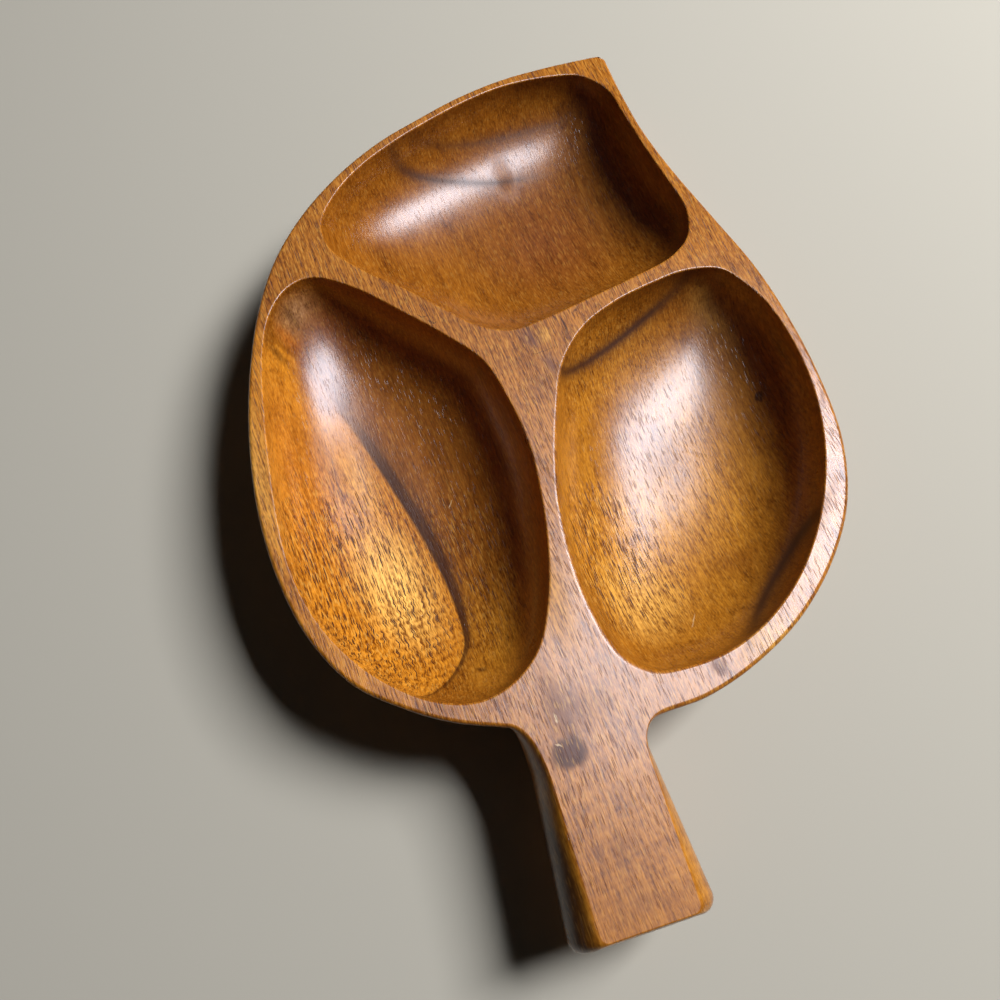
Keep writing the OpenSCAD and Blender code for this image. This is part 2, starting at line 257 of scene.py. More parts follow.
def add(tree, kind, inputs=(), **settings):
    """Adds a node with its settings and its inputs, which come as a list in their order or by
    name or number. An input takes a value, a socket or a node's first output."""
    node = tree.nodes.new(kind)
    for name, value in settings.items():
        setattr(node, name, value)
    for name, value in inputs.items() if isinstance(inputs, dict) else enumerate(inputs):
        if isinstance(value, bpy.types.Node):
            value = value.outputs[0]
        if isinstance(value, bpy.types.NodeSocket):
            tree.links.new(value, node.inputs[name])
        else:
            node.inputs[name].default_value = value
    return node


def empty_tree(owner):
    """The node tree of a material or a world, cleared."""
    owner.use_nodes = True
    owner.node_tree.nodes.clear()
    return owner.node_tree


def curve_points(a, b, c, d, steps):
    """Points of a smooth curve through a, b, c and d, from b up to but not at c."""
    t = (np.arange(steps) / steps)[:, None]
    return (2 * b + (c - a) * t + (2 * a - 5 * b + 4 * c - d) * t * t
            + (3 * b - a - 3 * c + d) * t ** 3) / 2


def closed_curve(p, steps):
    n = len(p)
    return np.concatenate([
        curve_points(p[i - 1], p[i], p[(i + 1) % n], p[(i + 2) % n], steps) for i in range(n)])


def open_curve(p, steps):
    q = np.concatenate([[2 * p[0] - p[1]], p, [2 * p[-1] - p[-2]]])
    parts = [curve_points(*q[i - 1:i + 3], steps) for i in range(1, len(p))]
    return np.concatenate(parts + [p[-1:]])


def pulled_curve(a, c, b, steps):
    """A quadratic curve from a to b that is pulled towards c, without its first point."""
    t = (np.arange(1, steps + 1) / steps)[:, None]
    return (1 - t) ** 2 * a + 2 * t * (1 - t) * c + t * t * b


def drawn_in(p, distance):
    """A closed anticlockwise curve drawn in by a distance."""
    d = np.roll(p, -1, axis=0) - np.roll(p, 1, axis=0)
    outward = np.stack([d[:, 1], -d[:, 0]], axis=1) / np.linalg.norm(d, axis=1)[:, None]
    return p - distance * outward


def smooth_share(t):
    return t * t * (3 - 2 * t)


def reach(a, b, x):
    """The point at x on the line from a through b."""
    return np.array([x, b[1] + (b[1] - a[1]) * (x - b[0]) / (b[0] - a[0])])


def stem_outline(leaf, middle, half_neck, half_end, start_y, end_y, corner_r):
    """The stem's outline from the leaf's left end to its right end."""
    left, right = middle - half_neck, middle + half_neck
    left_end, right_end = middle - half_end, middle + half_end
    down = end_y + corner_r
    side = (np.arange(1, SIDE_STEPS + 1) / SIDE_STEPS)[:, None]
    turn = np.radians(90 * np.arange(1, CORNER_STEPS + 1) / CORNER_STEPS)
    along = np.arange(1, END_STEPS + 1) / (END_STEPS + 1)
    start, end = np.array([left, start_y]), np.array([left_end, down])
    left_half = [
        pulled_curve(leaf[-1], reach(leaf[-2], leaf[-1], left), start, FILLET_STEPS),
        start + (end - start) * side,
        np.stack([left_end + corner_r * (1 - np.cos(turn)), down - corner_r * np.sin(turn)], 1),
    ]
    right_half = [
        pulled_curve(leaf[0], reach(leaf[1], leaf[0], right), np.array([right, start_y]),
                     FILLET_STEPS),
        np.array([right, start_y]) + np.array([right_end - right, down - start_y]) * side,
        np.stack([right_end - corner_r * (1 - np.cos(turn)), down - corner_r * np.sin(turn)], 1),
    ]
    end_line = np.stack([left_end + corner_r + 2 * (half_end - corner_r) * along,
                         np.full(END_STEPS, end_y)], 1)
    return np.concatenate([*left_half, end_line, np.concatenate(right_half)[::-1]])


def skin(sizes):
    """Rings of points from the flat top over the rim, down the wall and in under the bowl."""
    half = sizes.leaf_width / 2
    scale = np.array([sizes.leaf_width, sizes.leaf_length])
    leaf = np.concatenate([open_curve(np.array(table) * scale, EDGE_STEPS)
                           for table in (RIGHT_EDGE_SHARES, LEFT_EDGE_SHARES)])
    leaf_top = drawn_in(leaf, sizes.rim_round)
    stem = stem_outline(leaf, -sizes.stem_offset, sizes.neck_width / 2, sizes.stem_width / 2,
                        -sizes.neck_round, -sizes.stem_length, sizes.end_radius)
    stem_top = stem_outline(leaf_top, sizes.stem_top_offset - sizes.stem_offset,
                            sizes.stem_top_width / 2, sizes.stem_top_width / 2,
                            -sizes.neck_blend,
                            -sizes.stem_length + sizes.end_bevel, sizes.top_corner_radius)
    leaf_count, stem_count = len(leaf), len(stem)
    wide, top = np.concatenate([leaf, stem]), np.concatenate([leaf_top, stem_top])

    place = np.minimum(np.arange(stem_count), stem_count - 1 - np.arange(stem_count))
    belongs = np.concatenate([np.zeros(leaf_count),
                              smooth_share(np.minimum(1, (place + 1) / FILLET_STEPS))])
    foot_scale = np.array([1 - sizes.undercut / half, 1 - 2 * sizes.undercut / sizes.leaf_length])
    foot_middle = np.array([0, sizes.leaf_length / 2])
    foot = foot_middle + (leaf - foot_middle) * foot_scale
    keel_steps = FILLET_STEPS + SIDE_STEPS - 1
    keel_share = np.minimum(place, keel_steps) / keel_steps
    keel_start = (foot[0] + foot[-1]) / 2
    keel_end = np.array([-sizes.stem_offset, -sizes.stem_length + sizes.stem_width / 2])
    under = np.concatenate([foot, keel_start + (keel_end - keel_start) * keel_share[:, None]])
    under_z = np.concatenate([np.zeros(leaf_count),
                              (sizes.height - sizes.stem_thickness) * smooth_share(keel_share)])
    wide_z = sizes.height - sizes.rim_round - (sizes.stem_shoulder - sizes.rim_round) * belongs

    rings = [np.column_stack([drawn_in(top, FLAT_STRIP), np.full(len(top), sizes.height)])]
    for k in range(SHOULDER_RINGS + 1):
        start = np.radians(RIM_START + (STEM_START - RIM_START) * belongs)
        a = start + (math.pi / 2 - start) * k / SHOULDER_RINGS
        out = (np.sin(a) - np.sin(start)) / (1 - np.sin(start))
        down = 1 - np.cos(a) / np.cos(start)
        rings.append(np.column_stack([top + (wide - top) * out[:, None],
                                      sizes.height - (sizes.height - wide_z) * down]))
    for k in range(1, UNDER_RINGS + 1):
        a = math.pi / 2 * k / UNDER_RINGS
        inward = 1 - max(math.cos(a), 0) ** (2 / UNDER_POWER)
        down = math.sin(a) ** (2 / UNDER_POWER)
        rings.append(np.column_stack([wide + (under - wide) * inward,
                                      wide_z - (wide_z - under_z) * down]))
    return rings


def scooped_well_tree():
    """Geometry Nodes for a well: from its outline, a softened lip, walls and a rounded floor."""
    tree = bpy.data.node_groups.new("scooped_well", "GeometryNodeTree")
    tree.is_modifier = True
    tree.interface.new_socket("Outline", in_out="INPUT", socket_type="NodeSocketGeometry")
    for name, kind in (("Depth", "Float"), ("Lip radius", "Float"), ("Wear", "Float"),
                       ("Worn side", "Vector"), ("Flat strip", "Float"), ("Roundness", "Float"),
                       ("Easing", "Int"), ("Points around", "Int"), ("Lip rings", "Int"),
                       ("Bowl rings", "Int"), ("Wood", "Material")):
        tree.interface.new_socket(name, in_out="INPUT", socket_type="NodeSocket" + kind)
    tree.interface.new_socket("Well", in_out="OUTPUT", socket_type="NodeSocketGeometry")
    node = partial(add, tree)
    given = node("NodeGroupInput").outputs

    # The outline as a curve that also carries a copy of itself with its corners eased
    place = node("GeometryNodeInputPosition")
    soft = node("GeometryNodeBlurAttribute", data_type="FLOAT_VECTOR")
    tree.links.new(place.outputs[0], soft.inputs["Value"])
    tree.links.new(given["Easing"], soft.inputs["Iterations"])
    stored = node("GeometryNodeStoreNamedAttribute",
        {"Geometry": given["Outline"], "Name": "eased", "Value": soft}, data_type="FLOAT_VECTOR",
        domain="POINT")
    curve = node("GeometryNodeMeshToCurve", {"Mesh": stored})
    middle = node("GeometryNodeAttributeStatistic",
        {"Geometry": given["Outline"], "Attribute": place},
        data_type="FLOAT_VECTOR").outputs["Mean"]

    # A grid: x runs once around the well and y from the lip down to the middle of the floor
    around = node(MATH, [given["Points around"], 1.0], operation="ADD")
    lip_and_strip = node(MATH, [given["Lip rings"], 1.0], operation="ADD")
    rings = node(MATH, [lip_and_strip, given["Bowl rings"]], operation="ADD")
    rows = node(MATH, [rings, 1.0], operation="ADD")
    grid = node("GeometryNodeMeshGrid", {"Size X": 1.0, "Size Y": 1.0, "Vertices X": around,
        "Vertices Y": rows})
    cell = node("ShaderNodeSeparateXYZ", [place])
    turn = node(MATH, [cell.outputs[0], 0.5], operation="ADD")
    down = node(MATH, [cell.outputs[1], 0.5], operation="ADD")
    ring = node(MATH, [down, rings], operation="MULTIPLY")
    lip_angle = node(RANGE, {"Value": ring, "From Min": 1.0, "From Max": lip_and_strip,
        "To Max": math.pi / 2})
    bowl_angle = node(RANGE, {"Value": ring, "From Min": lip_and_strip, "From Max": rings,
        "To Max": math.pi / 2})

    eased = node("GeometryNodeInputNamedAttribute", {"Name": "eased"}, data_type="FLOAT_VECTOR")
    sample = node("GeometryNodeSampleCurve", {"Curves": curve, "Value": eased, "Factor": turn},
        data_type="FLOAT_VECTOR", mode="FACTOR")
    at = sample.outputs
    # Outward is square to the outline and away from the middle, whichever way the curve runs
    square = node(VECTOR, [at["Tangent"], (0.0, 0.0, 1.0)], operation="CROSS_PRODUCT")
    arm = node(VECTOR, [at["Position"], middle], operation="SUBTRACT")
    side = node(VECTOR, [square, arm], operation="DOT_PRODUCT")
    sign = node(MATH, [side.outputs["Value"]], operation="SIGN")
    outward = node(VECTOR, {0: square, "Scale": sign}, operation="SCALE")

    # The lip's radius grows by the wear on the worn side
    facing = node(VECTOR, [outward, given["Worn side"]], operation="DOT_PRODUCT")
    turned = node(MATH, [facing.outputs["Value"], 0.0], operation="MAXIMUM")
    worn_share = node(MATH, [turned, WEAR_FOCUS], operation="POWER")
    wear = node(MATH, [worn_share, given["Wear"]], operation="MULTIPLY")
    lip_radius = node(MATH, [wear, given["Lip radius"]], operation="ADD")

    # How far the lip stands out past the wall, with the flat strip on the first ring
    lip_sine = node(MATH, [lip_angle.outputs[0]], operation="SINE")
    lip_share = node(MATH, [1.0, lip_sine], operation="SUBTRACT")
    lip_out = node(MATH, [lip_share, lip_radius], operation="MULTIPLY")
    first = node(MATH, [ring, 0.5], operation="LESS_THAN")
    out = node(MATH, [first, given["Flat strip"], lip_out], operation="MULTIPLY_ADD")
    lip_cosine = node(MATH, [lip_angle.outputs[0]], operation="COSINE")
    lip_drop = node(MATH, [lip_cosine, -1.0], operation="ADD")
    lip_z = node(MATH, [lip_drop, lip_radius], operation="MULTIPLY")

    # The wall's plan shrinks to the middle while it sinks, along a superellipse
    power = node(MATH, [2.0, given["Roundness"]], operation="DIVIDE")
    cosine = node(MATH, [bowl_angle.outputs[0]], operation="COSINE")
    held = node(MATH, [cosine, 0.0], operation="MAXIMUM")
    shrink = node(MATH, [held, power], operation="POWER")
    sine = node(MATH, [bowl_angle.outputs[0]], operation="SINE")
    sink = node(MATH, [sine, power], operation="POWER")
    left_depth = node(MATH, [given["Depth"], wear], operation="SUBTRACT")
    bowl_z = node(MATH, [sink, left_depth], operation="MULTIPLY")
    easing = node(RANGE, {"Value": bowl_angle.outputs[0], "From Max": EASED_AT})
    plan = node(MIX, {"Factor": easing.outputs[0]}, data_type="VECTOR")
    tree.links.new(at["Position"], plan.inputs[4])
    tree.links.new(at["Value"], plan.inputs[5])
    from_middle = node(VECTOR, [plan.outputs[1], middle], operation="SUBTRACT")
    shrunk = node(VECTOR, {0: from_middle, "Scale": shrink}, operation="SCALE")
    put_back = node(VECTOR, [shrunk, middle], operation="ADD")
    lip_move = node(VECTOR, {0: outward, "Scale": out}, operation="SCALE")
    moved = node(VECTOR, [put_back, lip_move], operation="ADD")
    drop = node(MATH, [lip_z, bowl_z], operation="SUBTRACT")
    fall = node("ShaderNodeCombineXYZ", {2: drop})
    final = node(VECTOR, [moved, fall], operation="ADD")

    shaped = node("GeometryNodeSetPosition", {"Geometry": grid, "Position": final})
    closed = node("GeometryNodeMergeByDistance", {"Geometry": shaped, "Distance": 10 * WELD})
    real = node("GeometryNodeRealizeInstances", {"Geometry": closed})
    finish = node("GeometryNodeSetMaterial", {"Geometry": real, "Material": given["Wood"]})
    node("NodeGroupOutput", [finish])
    return tree


def scooped_well(name, outline, height, sizes, wear, wood, tree):
    """The mesh of one well, from the outline of its wall in metres."""
    n = len(outline)
    loop = bpy.data.meshes.new(name + "_outline")
    loop.from_pydata([(x, y, height) for x, y in outline],
                     [(i, (i + 1) % n) for i in range(n)], [])
    carrier = bpy.data.objects.new(name, loop)
    bpy.context.collection.objects.link(carrier)
    modifier = carrier.modifiers.new("scooped well", "NODES")
    modifier.node_group = tree
    values = {
        "Depth": (sizes.height - sizes.well_edge - sizes.floor_thickness) * MM,
        "Lip radius": sizes.well_edge * MM, "Wear": wear * MM, "Worn side": WORN_SIDE,
        "Flat strip": FLAT_STRIP * MM, "Roundness": WELL_POWER, "Easing": EASING_PASSES,
        "Points around": n, "Lip rings": LIP_RINGS, "Bowl rings": BOWL_RINGS, "Wood": wood,
    }
    for item in tree.interface.items_tree:
        if item.in_out == "INPUT" and item.name in values:
            modifier[item.identifier] = values[item.name]
    shown = carrier.evaluated_get(bpy.context.evaluated_depsgraph_get())
    mesh = bpy.data.meshes.new_from_object(shown)
    bpy.data.objects.remove(carrier)
    if len(mesh.polygons) < n * BOWL_RINGS:
        raise RuntimeError(f"{name} came out with {len(mesh.polygons)} faces")
    return mesh


def carved_mesh(sizes, wood):
    """The whole bowl as one closed mesh: the skin, the three wells and the flat top between."""
    rings = skin(sizes)
    count = len(rings[0])
    leaf = np.concatenate([ring[:, :2] for ring in rings])
    shift = np.array([LOW[0] - leaf[:, 0].min(), LOW[1] - leaf[:, 1].min()])
    bm = bmesh.new()
    levels = [[bm.verts.new(((x + shift[0]) * MM, (y + shift[1]) * MM, z * MM))
               for x, y, z in ring] for ring in rings]
    for upper, lower in zip(levels, levels[1:]):
        for i in range(count):
            j = (i + 1) % count
            bm.faces.new((upper[i], lower[i], lower[j], upper[j]))
    bmesh.ops.remove_doubles(bm, verts=levels[-1], dist=WELD)
    foot = [e for e in bm.edges if e.is_boundary and e.verts[0].co.z < 0.5 * sizes.height * MM]
    bmesh.ops.triangle_fill(bm, use_beauty=True, use_dissolve=False, edges=foot)

    tree = scooped_well_tree()
    scale = np.array([sizes.leaf_width, sizes.leaf_length])
    for name, shares in CELL_SHARES.items():
        cell = closed_curve(np.array(shares) * scale, WELL_STEPS)
        wall = (drawn_in(cell, sizes.well_inset) + shift) * MM
        wear = sizes.lip_wear if name == "right_well" else 0
        well = scooped_well(name, wall, sizes.height * MM, sizes, wear, wood, tree)
        bm.from_mesh(well)
        bpy.data.meshes.remove(well)
    bpy.data.node_groups.remove(tree)

    rim = [e for e in bm.edges if e.is_boundary]
    bmesh.ops.triangle_fill(bm, use_beauty=True, use_dissolve=False, edges=rim)
    bmesh.ops.remove_doubles(bm, verts=bm.verts[:], dist=WELD)
    bmesh.ops.recalc_face_normals(bm, faces=bm.faces[:])
    holes = sum(not e.is_manifold for e in bm.edges)
    if holes:
        raise RuntimeError(f"the carved mesh has {holes} open edges")
    for face in bm.faces:
        face.smooth = True
    mesh = bpy.data.meshes.new("carved_bowl_wood")
    bm.to_mesh(mesh)
    bm.free()
    mesh.materials.clear()
    mesh.materials.append(wood)
    return mesh


def patch(tree, place, middle, half_sizes, softness, strength, turn=GRAIN_TURN):
    """A mask that is strongest in the middle of a soft ellipsoid, turned with the grain."""
    local = add(tree, "ShaderNodeMapping", {"Vector": place, "Location": middle,
        "Rotation": (0, 0, math.radians(turn)), "Scale": half_sizes}, vector_type="TEXTURE")
    away = add(tree, VECTOR, [local], operation="LENGTH")
    return add(tree, RANGE, {"Value": away.outputs["Value"], "From Min": 1.0,
        "From Max": 1.0 - softness, "To Max": strength}, interpolation_type="SMOOTHSTEP")


def along_grain(tree, place, size):
    """Places counted in a size in mm across the grain, along it and up."""
    return add(tree, "ShaderNodeMapping", {"Vector": place,
        "Rotation": (0, 0, math.radians(GRAIN_TURN)), "Scale": size}, vector_type="TEXTURE")


def grain_noise(tree, place, size, **inputs):
    """Noise whose features have a size in mm across the grain, along it and up."""
    places = along_grain(tree, place, size)
    return add(tree, "ShaderNodeTexNoise", {"Vector": places, "Scale": 1.0, **inputs})


def growth_layer(tree, place, shifted, sides):
    """The growth layer that each point lies in, counted in mm outwards from the dark line."""
    node = partial(add, tree)
    from_axis = node(VECTOR, [shifted, LAYER_AXIS], operation="SUBTRACT")
    across = node(VECTOR, [from_axis, (1.0, 0.0, 1.0)], operation="MULTIPLY")
    radius = node(VECTOR, [across], operation="LENGTH")
    taper = node(VECTOR, [place, (0.0, LAYER_TAPER, 0.0)], operation="DOT_PRODUCT")
    tapered = node(MATH, [radius.outputs["Value"], taper.outputs["Value"]], operation="SUBTRACT")
    # Beside the stem the layers bend away from the axis
    beyond = node(MATH, [BEND_START, sides.outputs["Y"]], operation="SUBTRACT")
    held = node(MATH, [beyond, 0.0], operation="MAXIMUM")
    bend = node(MATH, [held, held], operation="MULTIPLY")
    bent = node(MATH, [bend, BEND, tapered], operation="MULTIPLY_ADD")
    return node(MATH, [bent, LINE_RADIUS], operation="SUBTRACT")


def growth_lines(tree, place, shifted, sides, layer):
    """Masks of all the dark growth lines and of the short ones, where the lacquer is dull. The
    long one on the left is sharp on its golden side, soft on its brown side and thinner towards
    the stem."""
    node = partial(add, tree)
    thin = node(RANGE, {"Value": sides.outputs["Y"], "From Min": -72.0, "From Max": -28.0,
        "To Min": 0.35})
    from_line = node(MATH, [layer, thin], operation="DIVIDE")
    over_line = node(RANGE, {"Value": from_line, "From Min": -9.0, "From Max": 2.5})
    line = node(RAMP, {"Fac": over_line})
    line.color_ramp.interpolation = "EASE"
    first, last = line.color_ramp.elements
    first.position, first.color = 0.0, (0.0, 0.0, 0.0, 1.0)
    last.position, last.color = 0.97, (0.0, 0.0, 0.0, 1.0)
    for position, grey in ((0.3, 0.12), (0.52, 0.35), (0.68, 0.92), (0.86, 1.0)):
        line.color_ramp.elements.new(position).color = (grey, grey, grey, 1.0)
    near = patch(tree, place, (-60.0, -20.0, 20.0), (62.0, 95.0, 70.0), 0.6, 0.95, 0.0)
    dark = node(MATH, [line, near], operation="MULTIPLY")
    dull = 0.0
    for normal, offset, middle, reach_mm, width, strength in GROWTH_LINES:
        plane = node(VECTOR, [shifted, normal], operation="DOT_PRODUCT")
        away = node(MATH, [plane.outputs["Value"], offset], operation="SUBTRACT")
        steps = node(MATH, [away, width], operation="DIVIDE")
        squared = node(MATH, [steps, steps], operation="MULTIPLY")
        over_one = node(MATH, [squared, 1.0], operation="ADD")
        bell = node(MATH, [1.0, over_one], operation="DIVIDE")
        local = patch(tree, place, middle, (reach_mm, reach_mm, reach_mm), 0.7, strength)
        amount = node(MATH, [bell, local], operation="MULTIPLY")
        dark = node(MATH, [dark, amount], operation="MAXIMUM")
        dull = node(MATH, [dull, amount], operation="MAXIMUM")
    return dark, dull


def open_pores(tree, swayed, texture):
    """A mask of the pores: short thin tubes along the grain, in cells 0.62 mm wide and 7.5 mm
    long, which is about twice as coarse as real ones, so that they show."""
    node = partial(add, tree)
    pore_places = along_grain(tree, swayed, (0.62, 7.5, 2.2))
    cells = node("ShaderNodeTexVoronoi", {"Vector": pore_places, "Scale": 1.0, "Randomness": 1.0},
        voronoi_dimensions="3D", feature="F1")
    pick = node("ShaderNodeSeparateColor", [cells.outputs["Color"]])
    widest = node(MATH, [texture, 0.24, 0.26], operation="MULTIPLY_ADD")
    bore = node(RANGE, {"Value": pick.outputs["Red"], "To Min": 0.08, "To Max": widest})
    depth_in = node(MATH, [bore, cells.outputs["Distance"]], operation="SUBTRACT")
    inside = node(RANGE, {"Value": depth_in, "From Min": -0.06, "From Max": 0.08},
        interpolation_type="SMOOTHSTEP")
    return node(MATH, [inside, texture], operation="MULTIPLY")


def carved_wood(finish):
    """Monkeypod, routed and sanded, then satin lacquered. Golden wood lies outside a dark growth
    line on the left and brown wood inside it. The open pores run along the stem: they show as
    dashes where the cut follows them and as dots where it crosses them."""
    wood = bpy.data.materials.new("satin_lacquered_monkeypod")
    tree = empty_tree(wood)
    node = partial(add, tree)
    own = node("ShaderNodeTexCoord").outputs["Object"]
    place = node(VECTOR, {0: own, "Scale": 1 / MM}, operation="SCALE")
    sides = node("ShaderNodeSeparateXYZ", [place])

    # The layers wander by some mm over 70 mm across and 200 mm along, and marks are ragged
    drift = grain_noise(tree, place, (70.0, 200.0, 70.0), Detail=2.0)
    centred = node(VECTOR, [drift.outputs["Color"], (0.5, 0.5, 0.5)], operation="SUBTRACT")
    slight = node(VECTOR, {0: centred, "Scale": 5.0}, operation="SCALE")
    shifted = node(VECTOR, [place, slight], operation="ADD")
    wander = node(VECTOR, {0: centred, "Scale": 14.0}, operation="SCALE")
    wandered = node(VECTOR, [place, wander], operation="ADD")
    jitter = grain_noise(tree, place, (2.5, 7.0, 2.5), Detail=3.0)
    jitter_centred = node(VECTOR, [jitter.outputs["Color"], (0.5, 0.5, 0.5)], operation="SUBTRACT")
    jitter_mm = node(VECTOR, {0: jitter_centred, "Scale": 3.0}, operation="SCALE")
    ragged = node(VECTOR, [place, jitter_mm], operation="ADD")

    # Masks of the golden wood, outside the dark line on the left, and of the flat top
    layer = growth_layer(tree, place, shifted, sides)
    left = node(RANGE, {"Value": sides.outputs["X"], "From Min": -5.0, "From Max": -45.0},
        interpolation_type="SMOOTHSTEP")
    outside = node(RANGE, {"Value": layer, "From Min": 0.3, "From Max": 1.5},
        interpolation_type="SMOOTHSTEP")
    flat_top = node(RANGE, {"Value": sides.outputs["Z"], "From Min": HIGH[2] - 0.9,
        "From Max": HIGH[2] - 0.15})
    # On the flat top, only the outer left of the rim is golden
    outer = node(RANGE, {"Value": sides.outputs["X"], "From Min": -55.0, "From Max": -100.0},
        interpolation_type="SMOOTHSTEP")
    shown = node(MIX, {0: flat_top, 2: left, 3: outer}, data_type="FLOAT")
    golden = node(MATH, [outside, shown], operation="MULTIPLY")

    # Body colours: brown, amber on the right and by the stem, tan on top, golden on the left
    on_top = node(MATH, [flat_top, 0.8], operation="MULTIPLY")
    layers = [(patch(tree, shifted, middle, half_sizes, 0.9, strength), finish.amber)
              for middle, half_sizes, strength in AMBER_ZONES]
    layers += [(on_top, finish.tan), (golden, finish.golden)]
    # Some of these patches are painted shade, light and sheen, as marked in the table
    layers += [(patch(tree, ragged, *shape), getattr(finish, name)) for name, *shape in PATCHES]
    colour = (*finish.brown, 1.0)
    for share, over in layers:
        colour = node(MIX, {"Factor": share, 6: colour, 7: (*over, 1.0)},
            data_type="RGBA").outputs[2]

    # Ripple in the lower left well: rows 3.3 mm apart, between which the grain sways
    curl = patch(tree, place, (-74.0, -60.0, 21.0), (36.0, 30.0, 30.0), 0.6, 1.0)
    row_places = along_grain(tree, ragged, (10.5, 10.5, 10.5))
    rows = node("ShaderNodeTexWave", {"Vector": row_places, "Scale": 1.0, "Distortion": 5.0,
        "Detail": 1.0, "Detail Scale": 1.5}, wave_type="BANDS", bands_direction="Y")
    row = node(MATH, [rows.outputs["Fac"], 0.5], operation="SUBTRACT")
    ripple = node(MATH, [curl, row], operation="MULTIPLY")
    sway_mm = node(MATH, [ripple, 0.5], operation="MULTIPLY")
    sway = node("ShaderNodeCombineXYZ", [sway_mm])
    swayed = node(VECTOR, [wandered, sway], operation="ADD")
    open_grain = 0.28
    for middle, half_sizes, strength in PORE_ZONES:
        zone = patch(tree, ragged, middle, half_sizes, 0.7, strength)
        open_grain = node(MATH, [open_grain, zone], operation="MAXIMUM")

    # The worn flat top is open all over, and less so towards the stem's end
    top_grain = node(RANGE, {"Value": sides.outputs["Y"], "From Min": -178.0, "From Max": -115.0,
        "To Min": 0.3, "To Max": 0.62})
    texture = node(MIX, {0: flat_top, 2: open_grain, 3: top_grain}, data_type="FLOAT")

    # Figure: broad bands along the layers, long soft streaks, mottle where the grain dips, and
    # fibres and specks, drawn 0.6 to 0.7 mm wide, twice as coarse as real ones, so that they show
    band_places = node(MATH, [layer, 1 / 13], operation="MULTIPLY")
    bands = node("ShaderNodeTexNoise", {"W": band_places, "Scale": 1.0, "Detail": 2.0},
        noise_dimensions="1D")
    streaks = grain_noise(tree, wandered, (3.0, 70.0, 3.0), Detail=3.0, Roughness=0.55)
    mottle = grain_noise(tree, place, (14.0, 32.0, 14.0), Detail=3.0, Roughness=0.55)
    patches = grain_noise(tree, ragged, (5.0, 8.0, 5.0), Detail=2.0, Roughness=0.5)
    fibres = grain_noise(tree, swayed, (0.6, 13.0, 3.5), Detail=2.0, Roughness=0.6)
    specks = grain_noise(tree, swayed, (0.7, 2.4, 0.9), Detail=1.0)
    lines = grain_noise(tree, wandered, (1.2, 45.0, 2.0), Detail=1.0)
    drawn = node(MATH, [flat_top, 0.3, 0.25], operation="MULTIPLY_ADD")
    tone = node(MATH, [ripple, -0.3, 0.54], operation="MULTIPLY_ADD")
    strong = node(MATH, [texture, 3.0], operation="MULTIPLY")
    grainy = node(MATH, [texture, 1.1, 0.5], operation="MULTIPLY_ADD")
    for figure, amount in ((bands, 0.45), (streaks, 0.7), (mottle, 0.6), (patches, 0.4),
                           (lines, drawn), (fibres, strong), (specks, grainy)):
        above = node(MATH, [figure, 0.5], operation="SUBTRACT")
        tone = node(MATH, [above, amount, tone], operation="MULTIPLY_ADD")
    shade = node(RAMP, {"Fac": tone})
    first, last = shade.color_ramp.elements
    first.position, first.color = 0.0, (0.36, 0.26, 0.18, 1.0)
    last.position, last.color = 1.0, (1.55, 1.75, 2.1, 1.0)
    shade.color_ramp.elements.new(0.5).color = (1.0, 1.0, 1.0, 1.0)
    colour = node(MIX, {"Factor": 1.0, 6: colour, 7: shade}, data_type="RGBA",
        blend_type="MULTIPLY").outputs[2]

    # The growth lines are fainter on the flat top. Over them lie stains, a knot, cracks and
    # scratches
    dark, dull = growth_lines(tree, place, shifted, sides, layer)
    faded = node(MATH, [flat_top, -0.75, 1.0], operation="MULTIPLY_ADD")
    dark = node(MATH, [dark, faded], operation="MULTIPLY")
    layers = [(dark, finish.growth_line_and_shade)]
    for name, *shape in MARKS:
        mark = patch(tree, ragged, *shape)
        layers.append((mark, getattr(finish, name)))
        if name in ("stain", "knot"):
            dull = node(MATH, [dull, mark], operation="MAXIMUM")
    for middle, half_sizes, strength in DULL_SPOTS:
        spot = patch(tree, ragged, middle, half_sizes, 1.0, strength)
        dull = node(MATH, [dull, spot], operation="MAXIMUM")

    # Painted glints: light flecks in the wood's colour stand for cell walls that mirror the lamps,
    # drawn 0.6 mm wide so that they show
    glints = grain_noise(tree, place, (0.6, 4.0, 1.6), Detail=0.0)
    flecks = node(RANGE, {"Value": glints, "From Min": 0.56, "From Max": 0.74},
        interpolation_type="SMOOTHSTEP")
    bright = node(MATH, [texture, 0.5], operation="MULTIPLY")
    off_lines = node(MATH, [1.0, dark], operation="SUBTRACT")
    lit = node(MATH, [off_lines, bright], operation="MULTIPLY")
    painted_glints = node(MATH, [flecks, lit], operation="MULTIPLY")
    layers.append((painted_glints, finish.pale_gold_and_painted_light))
    for share, over in layers:
        colour = node(MIX, {"Factor": share, 6: colour, 7: (*over, 1.0)},
            data_type="RGBA").outputs[2]

    pores = open_pores(tree, swayed, texture)
    hole = node(MIX, {"Factor": flat_top, 6: (*finish.pore, 1.0), 7: (*finish.stain, 1.0)},
        data_type="RGBA").outputs[2]
    colour = node(MIX, {"Factor": pores, 6: colour, 7: hole}, data_type="RGBA").outputs[2]

